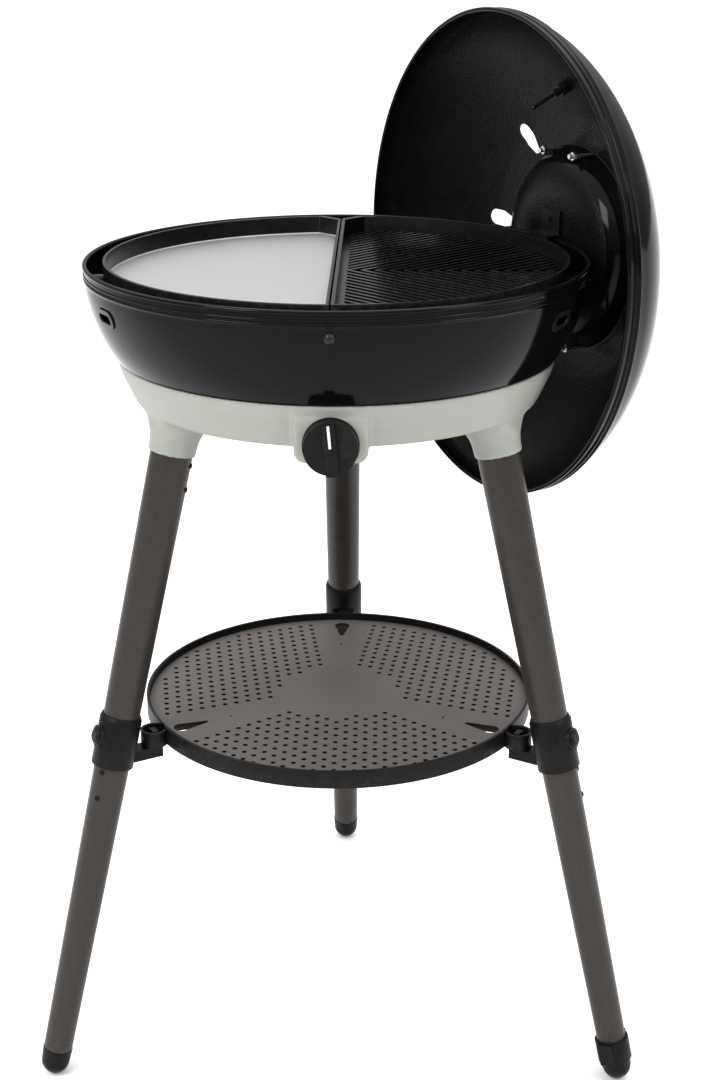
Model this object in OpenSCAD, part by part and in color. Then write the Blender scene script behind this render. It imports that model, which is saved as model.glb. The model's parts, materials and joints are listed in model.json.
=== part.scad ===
// Camp gas grill: round enamelled bowl on three plug-in legs, two half-round
// cooking plates, a perforated lower tray and a domed lid that hangs on the rim.
// Millimetres, +Z up, origin on the ground under the bowl's axis, knob towards -Y.

/* [Bowl] */
// Outer radius of the bowl's rim
bowl_rim_r = 256; // [225:1:300]
// Height of the top of the bowl's rim above the ground
bowl_rim_z = 855.5; // [780:0.5:980]
// Depth of the bowl from its rim to its flat bottom
bowl_depth = 121; // [100:1:145]
// Thickness of the bowl's steel
bowl_wall = 1.6; // [1.2:0.1:3]
// Radius of the rolled bead on the bowl's rim
bowl_bead_r = 2.6; // [2:0.1:3.5]
// Radius of the flat bottom of the bowl
bowl_flat_r = 197; // [170:1:205]
// Radius of the hole for the burner's riser
riser_hole_r = 15; // [12:0.5:20]
// Radius of the grease drain hole
drain_hole_r = 9; // [6:0.5:14]

/* [Base housing] */
// Wall of the plastic base housing
base_wall = 3; // [2.5:0.1:4]
// Height of the base housing's top edge above the bowl's flat bottom
base_top_rise = 25.5; // [20:0.5:28]
// Height of the base housing's side
base_height = 45; // [38:0.5:50]
// Outer radius of the base housing's top edge
base_top_r = 225; // [224:0.5:226]
// Outer radius of the base housing's bottom edge
base_bottom_r = 207; // [203:0.5:212]
// Wall of a leg socket at its mouth
socket_wall = 1.12; // [1:0.02:3]
// Height from the socket mouths up to the base's bottom edge
socket_drop = 40; // [30:1:60]
// How far a leg reaches into its socket
socket_depth = 32; // [20:1:34]

/* [Legs] */
// Distance from the bowl's axis to a leg's axis at its socket's mouth
leg_mouth_r = 188.53; // [180:0.01:192]
// Lean of each leg from the vertical, in degrees
leg_lean = 13.71; // [12:0.01:15]
// Leg radius at the ground
leg_r_low = 15; // [13:0.1:17]
// Leg radius gained per millimetre of length
leg_taper = 0.0094; // [0.005:0.0001:0.0095]
// Wall of the leg tubes
leg_wall = 1.5; // [1:0.1:2.5]
// Height of the bottom of the leg collars
collar_z = 350; // [300:1:420]
// Length of a collar along its leg
collar_len = 55; // [48:1:70]
// Wall of a collar
collar_wall = 3; // [2.5:0.1:4]
// Radius of a leg rivet's head
rivet_head_r = 3; // [2:0.1:4]
// How far the levelling foot's cap screws down the leg
level_travel = 12; // [6:1:16]

/* [Cooking plates] */
// Outer radius of the pair of cooking plates
plate_r = 235.4; // [205:0.1:240]
// Height of the plates' rim above the bowl's rim
plate_proud = 1.5; // [0:0.5:6]
// Depth of the plates' floor below their rim
plate_depth = 19; // [14:0.5:24]
// Thickness of the plates' floor
plate_floor = 4; // [3:0.5:6]
// Thickness of the plates' walls
plate_wall = 3.4; // [2.5:0.1:5]
// Gap between the two plates
plate_gap = 1.4; // [0.8:0.1:3]
// Size of the corner cut off each plate at the back of the split
plate_notch = 20; // [8:1:30]
// Pitch of the ribs, measured along the plate's middle line
rib_pitch = 14.5; // [12:0.5:20]
// Width of a rib
rib_w = 4; // [3:0.5:6]
// Height of a rib
rib_h = 3.6; // [2:0.2:6]

/* [Tray] */
// Outer radius of the tray's rim
tray_r = 210; // [190:1:216]
// Height of the top of the tray's rim
tray_top_z = 381; // [372:1:390]
// Height of the tray's skirt
tray_skirt = 19; // [14:1:22]
// Thickness of the tray's rim wall
tray_rim_wall = 3; // [2:0.5:5]
// Thickness of the perforated sheet
tray_sheet = 4; // [1.5:0.5:5]
// Depth of the sheet below the rim
tray_floor_drop = 8; // [5:1:11]
// Radius of the loops that hook over the collars' tongues
tray_loop_r = 14; // [13:0.5:18]
// Diameter of the sheet's small holes
tray_hole_d = 5; // [4:0.5:8]
// Pitch of the sheet's small holes
tray_hole_pitch = 15; // [13:1:24]

/* [Lid] */
// Outer radius of the lid's rim
lid_r = 254; // [225:1:300]
// Depth of the dome
lid_depth = 120.5; // [110:0.5:135]
// Thickness of the lid's steel
lid_wall = 1.6; // [1.2:0.1:3]
// Direction in which the lid hangs beside the bowl, in degrees
lid_azimuth = 28.7; // [20:0.1:40]
// How far the bowl's rim reaches into the hanging lid
lid_overlap = 76; // [66:1:77]
// Height of the hanging lid's middle below the bowl's rim
lid_drop = 16.6; // [14:0.1:24]
// Radius of the round handle recess in the dome
recess_r = 112; // [100:1:116]
// Depth of the handle recess
recess_depth = 27; // [20:0.5:28]
// Width of the lid handle
handle_w = 34; // [24:1:44]
// Thickness of the lid handle
handle_t = 11; // [8:0.5:14]

/* [Knob and gas] */
// Diameter of the control knob
knob_d = 53.4; // [44:0.1:54]
// Length of the knob's body
knob_len = 19; // [17:1:32]
// Height of the knob's axis below the bowl's flat bottom
knob_drop = 10.2; // [9.6:0.1:13]
// Half width of the control boss
boss_half_w = 35; // [31:0.5:40]
// Travel of the knob when it is pushed in
push_travel = 3; // [2:0.5:4]
// Radius of the valve spindle
spindle_r = 4; // [3:0.5:5]
// Radius of the burner's head
burner_r = 52; // [40:1:70]
// Outer radius of the hose tail
hose_tail_r = 4.5; // [4:0.5:6]
// Length of the hose tail
hose_tail_len = 22; // [16:1:28]

/* [Clearances] */
// Radial clearance of a running fit
running_gap = 0.08; // [0.04:0.01:0.1]
// Gap between parts that lift apart
lift_gap = 0.5; // [0.3:0.1:1]
// Radial gap of a leg in its socket
leg_gap = 0.35; // [0.3:0.05:0.6]
// Gap between fixed parts that lie side by side
fixed_gap = 0.2; // [0.1:0.05:0.5]

/* [Hidden] */
$fn = 96;

// Colours
enamel = [0.05, 0.05, 0.055];
shell_grey = [0.64, 0.65, 0.62];
leg_brown = [0.27, 0.255, 0.25];
black_plastic = [0.06, 0.06, 0.065];
bright_steel = [0.75, 0.75, 0.76];
brass = [0.75, 0.6, 0.3];
tray_grey = [0.36, 0.33, 0.32];
cast_black = [0.09, 0.09, 0.09];
cast_pale = [0.5, 0.5, 0.49];
white_paint = [0.92, 0.92, 0.9];

// Azimuths of the three legs
az_back = 90;
az_left = 210;
az_right = 330;

// Places along the axis of a leg, measured from the ground
socket_z = bowl_rim_z - bowl_depth + base_top_rise - base_height - socket_drop;
leg_foot_r = leg_mouth_r + socket_z * tan(leg_lean);
leg_cos = cos(leg_lean);
socket_s = socket_z / leg_cos;
leg_top_s = socket_s + socket_depth;
collar_s = collar_z / leg_cos;
collar_top_s = collar_s + collar_len;
web_s = collar_s + 0.7 * collar_len;
web_t = 4;
foot_top_s = 30;
function leg_r(s) = leg_r_low + leg_taper * s;
function leg_axis_r(z) = leg_foot_r - z * tan(leg_lean);

// Heights
bowl_bottom_z = bowl_rim_z - bowl_depth;
base_top_z = bowl_bottom_z + base_top_rise;
base_bottom_z = base_top_z - base_height;
plate_top_z = bowl_rim_z + plate_proud;
plate_floor_z = plate_top_z - plate_depth;
knob_z = bowl_bottom_z - knob_drop;
tray_bottom_z = tray_top_z - tray_skirt;
tray_floor_z = tray_top_z - tray_floor_drop;

// A ring of the given radii between two heights
module ring(r_out, r_in, z0, z1) {
  translate([0, 0, z0])
    difference() {
      cylinder(r = r_out, h = z1 - z0);
      translate([0, 0, -1]) cylinder(r = r_in, h = z1 - z0 + 2);
    }
}

// Children in the frame of a leg: Z runs up its axis, X points away from the bowl
module leg_frame(az) {
  rotate([0, 0, az])
    translate([leg_foot_r, 0, 0])
      rotate([0, -leg_lean, 0])
        children();
}

// ---------------------------------------------------------------- bowl
bowl_wall_top = 14;
bowl_body_r = bowl_rim_r - 1.5;
bowl_power = 6;
bowl_side_power = 1.5;
bowl_form_depth = 125;
wall_steps = 12;
// Radius of the bowl's side, a distance t below its rim band
function bowl_r(t) =
  bowl_body_r * pow(1 - pow(t / bowl_form_depth, bowl_side_power), 1 / bowl_power);
// The side ends in a small step, below which the bowl sits inside the base
step_t = bowl_rim_z - bowl_wall_top - base_top_z - 3.5;
seat_r = base_top_r - base_wall - 0.4;
seat_h = base_top_rise + 1.5;
corner_steps = 8;

// Section of the bowl as a solid, shrunk by w all round
module bowl_section(w) {
  side = [for (i = [0:wall_steps])
    let(t = (step_t - 0.8 * w) * i / wall_steps)
    [bowl_r(t) - w, bowl_rim_z - bowl_wall_top - t]];
  corner = [for (i = [0:corner_steps])
    let(a = 90 * i / corner_steps)
    [bowl_flat_r + (seat_r - w - bowl_flat_r) * cos(a),
     bowl_bottom_z + w + (seat_h - 0.2 * w) * (1 - sin(a))]];
  polygon(concat(
    [[0, bowl_rim_z - bowl_bead_r], [bowl_rim_r - w - 0.4, bowl_rim_z - bowl_bead_r]],
    [[bowl_rim_r - w - 0.4, bowl_rim_z - bowl_wall_top + 4]],
    side, corner, [[0, bowl_bottom_z + w]]));
}

stud_r = 3;
stud_reach = 10;
stud_z = plate_floor_z - plate_floor - stud_r - lift_gap;
slot_az = [az_left, az_right];
slot_z = bowl_rim_z - 37;
slot_half = 9;
slot_tall = 6;
grease_az = 150;
grease_r = 92;
electrode_x = 62;

module slot_hole(az, extra) {
  rotate([0, 0, az])
    translate([bowl_rim_r - 30, 0, slot_z])
      rotate([0, 90, 0]) {
        for (y = [-slot_half, slot_half])
          translate([0, y, 0]) cylinder(r = slot_tall + extra, h = 60, $fn = 48);
        translate([-slot_tall - extra, -slot_half, 0])
          cube([2 * (slot_tall + extra), 2 * slot_half, 60]);
      }
}

module bowl() {
  color(enamel) {
    difference() {
      rotate_extrude() difference() {
        bowl_section(0);
        bowl_section(bowl_wall);
        translate([-1, bowl_rim_z - bowl_bead_r - 0.01]) square([bowl_rim_r + 5, 10]);
      }
      translate([0, 0, bowl_bottom_z - 5]) cylinder(r = riser_hole_r, h = 20);
      rotate([0, 0, grease_az])
        translate([grease_r, 0, bowl_bottom_z - 5]) cylinder(r = drain_hole_r, h = 20);
      translate([electrode_x, 0, bowl_bottom_z - 5]) cylinder(r = 4, h = 20);
      for (az = slot_az) slot_hole(az, 0);
      for (a = [0:90:270])
        rotate([0, 0, a]) translate([bowl_rim_r - 20, 0, stud_z])
          rotate([0, 90, 0]) cylinder(r = stud_r + fixed_gap, h = 40, $fn = 32);
      for (a = [110:120:350])
        rotate([0, 0, a]) translate([base_screw_r, 0, bowl_bottom_z - 5])
          cylinder(r = 2.7, h = 20, $fn = 32);
    }
    rotate_extrude()
      translate([bowl_rim_r - bowl_bead_r, bowl_rim_z - bowl_bead_r]) circle(r = bowl_bead_r, $fn = 32);
    for (drop = [9.5, 14])
      rotate_extrude()
        translate([bowl_rim_r - 1.9, bowl_rim_z - drop]) circle(r = 1.7, $fn = 24);
  }
}

// Stud that carries the plates: a shank through the bowl's wall, a domed head
// outside, and a shoulder inside that keeps the plates in the middle
module plate_stud(az) {
  in_end = plate_r - stud_reach;
  shoulder = plate_r + 2.5;
  color(bright_steel)
    rotate([0, 0, az]) translate([0, 0, stud_z]) rotate([0, 90, 0]) {
      translate([0, 0, in_end]) cylinder(r = stud_r, h = bowl_body_r + 1.5 - in_end, $fn = 32);
      translate([0, 0, shoulder]) cylinder(r = stud_r + 3, h = bowl_body_r - bowl_wall - 3 - shoulder, $fn = 32);
      translate([0, 0, bowl_body_r + 0.3])
        intersection() {
          translate([0, 0, -2.5]) sphere(r = 6, $fn = 32);
          cylinder(r = 6, h = 5);
        }
    }
}

trim_t = 1.4;
module slot_trim(az) {
  color(bright_steel)
    intersection() {
      difference() {
        slot_hole(az, 3);
        slot_hole(az, -1.5);
        rotate([0, 0, az]) translate([bowl_rim_r - 31, -40, slot_z - 20])
          cube([18, 80, 40]);
      }
      difference() {
        rotate_extrude() bowl_section(-fixed_gap - trim_t);
        rotate_extrude() bowl_section(-fixed_gap);
      }
    }
}

// ---------------------------------------------------------------- base housing
base_screw_r = 150;
flange_w = 62;
socket_bore_r = leg_r(leg_top_s) + leg_gap;
socket_r = socket_bore_r + socket_wall;
flare_h = 58;
flare_r = 70;
base_side_shape = [[0, 0], [0.32, 0.27], [0.67, 0.58], [0.91, 0.83], [1, 1]];
// Outline of the base's side, moved out by g
function base_side(g) =
  [for (p = base_side_shape)
    [base_bottom_r + g + p[0] * (base_top_r - base_bottom_r), base_bottom_z + p[1] * base_height]];

// Outline of a leg socket: a neck that flares in a concave curve into the base
module socket_outline() {
  curve = [for (i = [0:8])
    let(u = i / 8)
    [socket_r + (flare_r - socket_r) * pow(u, 2.1), socket_s + 8 + flare_h * u]];
  rotate_extrude()
    polygon(concat([[0, socket_s], [socket_r, socket_s]], curve, [[0, socket_s + 8 + flare_h]]));
}

// Everything inside the base's side, moved out by g. Below the base it leans
// out as the legs do, so that the sockets stay whole.
module base_envelope(g) {
  reach = 115;
  rotate_extrude()
    polygon(concat([[0, base_bottom_z - reach], [base_bottom_r + g + reach * tan(leg_lean), base_bottom_z - reach]],
      base_side(g), [[0, base_top_z]]));
}

module base_shell() {
  rotate_extrude()
    polygon(concat([[base_bottom_r - flange_w, base_bottom_z]], base_side(0),
      [[seat_r - 8, base_top_z],
       [seat_r - 14, base_bottom_z + 0.49 * base_height],
       [base_bottom_r - base_wall - 3, base_bottom_z + base_wall],
       [base_bottom_r - flange_w, base_bottom_z + base_wall]]));
}

module base_housing() {
  color(shell_grey)
    difference() {
      union() {
        base_shell();
        for (az = [az_back, az_left, az_right])
          intersection() {
            leg_frame(az) socket_outline();
            base_envelope(-0.3);
          }
        for (a = [110:120:350])
          rotate([0, 0, a]) translate([base_screw_r, 0, base_bottom_z])
            cylinder(r = 8, h = bowl_bottom_z - base_bottom_z - fixed_gap);
      }
      rotate_extrude() bowl_section(-fixed_gap);
      for (az = [az_back, az_left, az_right])
        leg_frame(az) translate([0, 0, socket_s - 1]) cylinder(r = socket_bore_r, h = socket_depth + 1);
      for (a = [110:120:350])
        rotate([0, 0, a]) translate([base_screw_r, 0, base_bottom_z - 1]) cylinder(r = 2.7, h = 40, $fn = 32);
      // Window for the valve
      translate([-valve_r - 1, -base_top_r - 5, base_bottom_z - 1])
        cube([valve_r + pipe_x + 14, base_top_r - base_bottom_r + flange_w + 10, knob_z + valve_r + 2 - base_bottom_z]);
    }
}

module bowl_base_screws() {
  color(bright_steel)
    for (a = [110:120:350])
      rotate([0, 0, a]) translate([base_screw_r, 0, 0]) {
        translate([0, 0, base_bottom_z - 3]) cylinder(r = 5, h = 3, $fn = 32);
        translate([0, 0, base_bottom_z - 0.5]) cylinder(r = 2.5, h = bowl_bottom_z - base_bottom_z + 6.5, $fn = 32);
        translate([0, 0, bowl_bottom_z + bowl_wall + 0.05]) cylinder(r = 4.5, h = 3.5, $fn = 6);
      }
}

// ---------------------------------------------------------------- knob and gas
knob_face_y = -(base_top_r + knob_len + 3);
knob_back_y = knob_face_y + knob_len;
boss_front_y = knob_back_y + push_travel + lift_gap;
boss_back_y = -base_top_r + 16;
boss_top_z = base_top_z - 12;
boss_bottom_z = knob_z - 19.7;
valve_r = 9;
valve_back_y = -base_bottom_r + 4;
gas_z = knob_z - valve_r - 7;
block_t = 12;
pipe_x = 17;
pipe_len = 50;
inlet_y = valve_back_y + pipe_len + 7;
plunger_len = 5;
pointer_w = 2.4;
knob_rest_turn = 5;
tail_lean = 20;
elbow_r = 6.5;
tail_root = sqrt(elbow_r * elbow_r - hose_tail_r * hose_tail_r);

// Children turned so that their Z points towards the knob's user
module knob_axis(y) {
  translate([0, y, knob_z]) rotate([90, 0, 0]) children();
}

// Upright slab with round lower corners, seen from the front
module boss_slab(half_w, y0, y1, low, corner) {
  translate([0, y1, 0]) rotate([90, 0, 0]) linear_extrude(height = y1 - y0) union() {
    translate([-half_w, low + corner]) square([2 * half_w, boss_top_z - low - corner]);
    translate([-half_w + corner, low]) square([2 * (half_w - corner), corner + 1]);
    for (x = [-half_w + corner, half_w - corner])
      translate([x, low + corner]) circle(r = corner, $fn = 32);
  }
}

module control_boss() {
  color(shell_grey)
    difference() {
      boss_slab(boss_half_w, boss_front_y, boss_back_y, boss_bottom_z, 10);
      translate([0, boss_front_y + 3, 0])
        boss_slab(boss_half_w - 3, 0, 40, boss_bottom_z + 3, 8);
      base_envelope(fixed_gap);
      knob_axis(boss_front_y + 10) cylinder(r = valve_r - 2, h = 20);
      // Room for the valve's block
      translate([-7, valve_back_y - block_t - 0.5, boss_bottom_z - 5])
        cube([pipe_x + 14, 40, 20]);
    }
}

module gas_valve() {
  color(brass) difference() {
    union() {
      translate([0, valve_back_y, knob_z]) rotate([90, 0, 0])
        cylinder(r = valve_r, h = valve_back_y - boss_front_y - 3 - fixed_gap);
      translate([-6, valve_back_y - block_t, gas_z - 6])
        cube([pipe_x + 12, block_t, 12]);
      translate([-6, valve_back_y - block_t, gas_z]) cube([12, block_t, knob_z - gas_z - 3]);
    }
    translate([0, valve_back_y - 3, knob_z]) rotate([90, 0, 0]) cylinder(r = valve_r - 2.5, h = 60);
  }
}

// Sleeve that the knob's spindle turns in and that slides in with it
module valve_plunger() {
  color(bright_steel)
    translate([0, valve_back_y - 3 - push_travel - 1, knob_z]) rotate([90, 0, 0]) difference() {
      cylinder(r = valve_r - 2.5 - running_gap, h = plunger_len);
      translate([0, 0, -1]) cylinder(r = spindle_r + running_gap, h = plunger_len + 2);
    }
}

module valve_spindle() {
  color(brass)
    translate([0, valve_back_y - 3 - push_travel - 0.6, knob_z]) rotate([90, 0, 0])
      cylinder(r = spindle_r, h = valve_back_y - 3 - push_travel - 0.6 - knob_back_y + 13);
}

// Knob with a skirt, a tapered body, a grip bar and a bore for the spindle
module control_knob() {
  skirt = 3;
  bar_h = 5;
  bar_w = 12;
  color(black_plastic) knob_axis(knob_back_y) rotate([0, 0, knob_rest_turn]) difference() {
    union() {
      cylinder(r = knob_d / 2, h = skirt);
      translate([0, 0, skirt]) cylinder(r1 = knob_d / 2 - 0.6, r2 = knob_d / 2 - 1.4, h = knob_len - skirt - bar_h);
      intersection() {
        cylinder(r1 = knob_d / 2 - 0.4, r2 = knob_d / 2 - 1.6, h = knob_len);
        translate([-bar_w / 2, -knob_d / 2, 1]) cube([bar_w, knob_d, knob_len - 1]);
      }
    }
    translate([0, 0, -1]) cylinder(r = spindle_r + fixed_gap, h = 15);
    translate([-pointer_w / 2 - 0.1, 2, knob_len - 1]) cube([pointer_w + 0.2, knob_d / 2 - 5, 2]);
  }
}

module knob_pointer() {
  color(white_paint)
    knob_axis(knob_back_y) rotate([0, 0, knob_rest_turn])
      translate([-pointer_w / 2, 2.1, knob_len - 0.9]) cube([pointer_w, knob_d / 2 - 5.2, 1.2]);
}

module gas_jet() {
  color(brass)
    translate([0, valve_back_y + fixed_gap, gas_z]) rotate([-90, 0, 0]) {
      cylinder(r = 5, h = 6, $fn = 6);
      translate([0, 0, 5]) cylinder(r = 2, h = 8, $fn = 32);
    }
}

venturi_r = 8;
venturi_start_y = valve_back_y + 9;
module venturi_tube() {
  color(bright_steel) difference() {
    union() {
      translate([0, venturi_start_y, gas_z]) rotate([-90, 0, 0]) cylinder(r1 = 10, r2 = venturi_r, h = 20);
      translate([0, venturi_start_y + 19, gas_z]) rotate([-90, 0, 0])
        cylinder(r = venturi_r, h = -venturi_start_y - 19 - riser_r - fixed_gap - 2);
    }
    translate([0, venturi_start_y - 1, gas_z]) rotate([-90, 0, 0])
      cylinder(r = venturi_r - 1.2, h = -venturi_start_y);
    translate([-12, venturi_start_y + 3, gas_z - 3]) cube([24, 10, 6]);
  }
}

module gas_pipe() {
  color(brass)
    translate([pipe_x, valve_back_y + fixed_gap, gas_z]) rotate([-90, 0, 0]) {
      cylinder(r = 6, h = 6, $fn = 6);
      translate([0, 0, 5]) cylinder(r = 3.5, h = pipe_len - 5);
    }
}

// Elbow with the plain hose tail that the gas hose is clamped on. It leans
// forward so that a hose comes straight off it past the tray.
module gas_inlet() {
  color(brass)
    translate([pipe_x, inlet_y, gas_z]) rotate([180 - tail_lean, 0, 0]) difference() {
      union() {
        sphere(r = elbow_r);
        cylinder(r = hose_tail_r, h = tail_root + hose_tail_len);
      }
      translate([0, 0, 4]) cylinder(r = hose_tail_r - 1.8, h = elbow_r + hose_tail_len);
    }
}

riser_r = riser_hole_r - 1.5;
burner_z = bowl_bottom_z + 16;
module burner_riser() {
  color(bright_steel) difference() {
    union() {
      translate([0, 0, gas_z - 12]) cylinder(r = riser_r, h = burner_z - gas_z + 12);
      translate([0, 0, bowl_bottom_z + bowl_wall + fixed_gap]) cylinder(r = riser_r + 8, h = 2.5);
    }
    translate([0, 0, gas_z - 9]) cylinder(r = riser_r - 2, h = 80);
    translate([0, -riser_r - 5, gas_z]) rotate([-90, 0, 0]) cylinder(r = venturi_r - 1.2, h = riser_r + 4);
  }
}

port_count = 24;
module burner_head() {
  color(cast_black) difference() {
    union() {
      translate([0, 0, burner_z + fixed_gap]) cylinder(r1 = riser_r + 2, r2 = burner_r, h = 8);
      translate([0, 0, burner_z + fixed_gap + 8]) cylinder(r = burner_r, h = 10);
    }
    translate([0, 0, burner_z + 5]) cylinder(r1 = riser_r, r2 = burner_r - 5, h = 6);
    translate([0, 0, burner_z + 10.9]) cylinder(r = burner_r - 5, h = 20);
    translate([0, 0, burner_z - 1]) cylinder(r = riser_r - 2, h = 20);
    for (i = [0:port_count - 1])
      rotate([0, 0, 360 * i / port_count]) translate([burner_r - 8, 0, burner_z + 14])
        rotate([0, 90, 0]) cylinder(r = 1.3, h = 12, $fn = 16);
  }
}

module burner_cap() {
  color(enamel) {
    translate([0, 0, burner_z + 18 + 2 * fixed_gap]) cylinder(r1 = burner_r + 2, r2 = burner_r - 6, h = 3);
    translate([0, 0, burner_z + 20.9 + 2 * fixed_gap]) cylinder(r1 = burner_r - 6, r2 = 10, h = 3);
  }
}

module spark_electrode() {
  color(white_paint)
    translate([electrode_x, 0, bowl_bottom_z - 8]) cylinder(r = 3.5, h = 34, $fn = 32);
  color(bright_steel)
    translate([electrode_x, 0, bowl_bottom_z + 25]) cylinder(r = 1, h = 8, $fn = 16);
}

// Grease cup on two rails under the bowl, drawn out between two legs
cup_r = 36;
cup_h = 22;
cup_lip = 4;
cup_travel = 90;
rail_len = 84;
cup_top_z = base_bottom_z - lift_gap - 0.5;
module grease_rails() {
  color(bright_steel) rotate([0, 0, grease_az]) translate([grease_r, 0, 0])
    for (side = [-1, 1]) {
      translate([-rail_len / 2, side * (cup_r + cup_lip + 1.5) - 1, cup_top_z - 4])
        cube([rail_len, 2, bowl_bottom_z - cup_top_z + 4 - fixed_gap]);
      translate([-rail_len / 2, side > 0 ? cup_r + 1 : -cup_r - cup_lip - 2.5, cup_top_z - 4])
        cube([rail_len, cup_lip + 1.5, 2]);
    }
}

module grease_cup() {
  color(bright_steel) rotate([0, 0, grease_az]) translate([grease_r, 0, 0]) difference() {
    union() {
      translate([0, 0, cup_top_z - cup_h]) cylinder(r = cup_r, h = cup_h);
      translate([0, 0, cup_top_z - 1.7]) cylinder(r = cup_r + cup_lip, h = 1.7);
    }
    translate([0, 0, cup_top_z - cup_h + 1.5]) cylinder(r = cup_r - 1.5, h = cup_h);
  }
}

// ---------------------------------------------------------------- cooking plates
// Half disc on the +X side of the split, shrunk by w, with its back corner cut
module half_disc(w) {
  difference() {
    circle(r = plate_r - w, $fn = 128);
    translate([-2 * plate_r + plate_gap / 2 + w, -2 * plate_r]) square([2 * plate_r, 4 * plate_r]);
    translate([plate_gap / 2 + w * 1.4, plate_r - plate_notch - w * 1.4]) rotate([0, 0, 45])
      translate([-200, 0]) square([400, 200]);
  }
}

module plate_pan() {
  difference() {
    translate([0, 0, plate_floor_z - plate_floor])
      linear_extrude(height = plate_depth + plate_floor) half_disc(0);
    translate([0, 0, plate_floor_z])
      linear_extrude(height = plate_depth + 10) half_disc(plate_wall);
  }
}

module flat_plate() {
  color(cast_pale) mirror([1, 0, 0]) plate_pan();
}

module ribbed_plate() {
  first = -plate_r;
  color(cast_black) {
    plate_pan();
    translate([0, 0, plate_floor_z - 0.5])
      linear_extrude(height = rib_h + 0.5)
        intersection() {
          half_disc(plate_wall + 3);
          translate([11, -plate_r]) square([plate_r, 2 * plate_r]);
          for (x = [first:rib_pitch:plate_r])
            for (turn = [-45, 45])
              translate([x, 0]) rotate([0, 0, turn])
                translate([0, -rib_w / 2]) square([2.2 * plate_r, rib_w]);
        }
  }
}

// ---------------------------------------------------------------- legs
rivet_upper_s = [socket_s - 8, socket_s - 33];
rivet_lower_s = [collar_s - 6, collar_s - 35];
rivet_upper_turn = 140;
rivet_lower_turn = 35;
collar_r = leg_r(collar_top_s) + collar_wall;
collar_bore_r = leg_r(web_s) + leg_gap;
button_s = collar_s + 0.58 * collar_len - 1;
button_r = 9;
button_travel = 3;
arm_w = 18;
arm_top_z = tray_bottom_z - lift_gap;
arm_t = 12;
tongue_r = tray_r + 10;

module leg_tube(s0, s1) {
  difference() {
    translate([0, 0, s0]) cylinder(r1 = leg_r(s0), r2 = leg_r(s1), h = s1 - s0);
    translate([0, 0, s0 - 1])
      cylinder(r1 = leg_r(s0 - 1) - leg_wall, r2 = leg_r(s1 + 1) - leg_wall, h = s1 - s0 + 2);
  }
}

module upper_leg(az) {
  color(leg_brown) leg_frame(az) leg_tube(web_s + web_t / 2 + fixed_gap, leg_top_s - lift_gap);
}

module lower_leg(az) {
  color(leg_brown) leg_frame(az) leg_tube(foot_top_s + fixed_gap, web_s - web_t / 2 - fixed_gap);
}

module rivets(az, places, turn) {
  color(black_plastic) leg_frame(az) rotate([0, 0, turn])
    for (s = places)
      translate([leg_r(s) + 0.05, 0, s]) rotate([0, 90, 0]) intersection() {
        translate([0, 0, -rivet_head_r * 0.8]) sphere(r = rivet_head_r * 1.4, $fn = 32);
        cylinder(r = rivet_head_r, h = 3, $fn = 32);
      }
}

// Collar between the two halves of a leg, with an arm and tongue for the tray
module collar(az) {
  seat_r = leg_r(collar_top_s) + fixed_gap;
  color(black_plastic) difference() {
    union() {
      leg_frame(az) {
        translate([0, 0, collar_s]) cylinder(r = collar_r, h = collar_len - 4);
        translate([0, 0, collar_s + collar_len - 4]) cylinder(r1 = collar_r, r2 = collar_r - 1.6, h = 4);
        translate([0, 0, button_s]) rotate([0, 90, 0]) cylinder(r = button_r + 2.5, h = collar_r + 1.5);
      }
      rotate([0, 0, az]) {
        translate([tongue_r - 6, -arm_w / 2, arm_top_z - arm_t])
          cube([leg_axis_r(arm_top_z) - tongue_r + 2, arm_w, arm_t]);
        translate([tongue_r - 3, -arm_w / 2 + 3, arm_top_z - 1]) cube([6, arm_w - 6, tray_skirt - 2]);
      }
    }
    leg_frame(az) {
      translate([0, 0, collar_s - 1]) cylinder(r = collar_bore_r, h = web_s - web_t / 2 - collar_s + 1);
      translate([0, 0, web_s + web_t / 2]) cylinder(r = seat_r, h = collar_len);
      translate([0, 0, button_s]) rotate([0, 90, 0])
        translate([0, 0, collar_bore_r - 1]) cylinder(r = button_r + running_gap, h = collar_r);
    }
  }
}

module release_button(az) {
  start = leg_r(collar_top_s) + button_travel + 0.6;
  color(black_plastic) leg_frame(az) translate([0, 0, button_s]) rotate([0, 90, 0]) {
    translate([0, 0, start]) cylinder(r = button_r, h = collar_r + 2.5 - start);
    translate([0, 0, collar_r + 2.4]) cylinder(r1 = button_r, r2 = button_r - 3, h = 2.5);
  }
}

module foot_cap(az) {
  end_z = leg_r_low;
  color(black_plastic) leg_frame(az) {
    translate([0, 0, end_z / leg_cos]) sphere(r = end_z);
    translate([0, 0, end_z / leg_cos]) cylinder(r1 = end_z, r2 = leg_r(foot_top_s) + 0.6, h = foot_top_s - end_z / leg_cos);
    translate([0, 0, foot_top_s - 1]) cylinder(r = leg_r(foot_top_s) - leg_wall - fixed_gap, h = 17);
  }
}

// Cap with two ears that screws down the right leg to level the grill
module levelling_foot() {
  end_z = leg_r_low;
  ear_s = 24;
  difference() {
    color(black_plastic) leg_frame(az_right) {
      translate([0, 0, end_z / leg_cos]) sphere(r = end_z);
      translate([0, 0, end_z / leg_cos]) cylinder(r = leg_r_low + 0.6, h = foot_top_s - end_z / leg_cos);
      translate([-8, -20, ear_s]) cube([16, 40, 24]);
      translate([0, 0, ear_s]) cylinder(r = leg_r_low + 3, h = 24);
    }
    leg_frame(az_right) translate([0, 0, foot_top_s]) cylinder(r = leg_r(60) + leg_gap, h = 60);
  }
}

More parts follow.
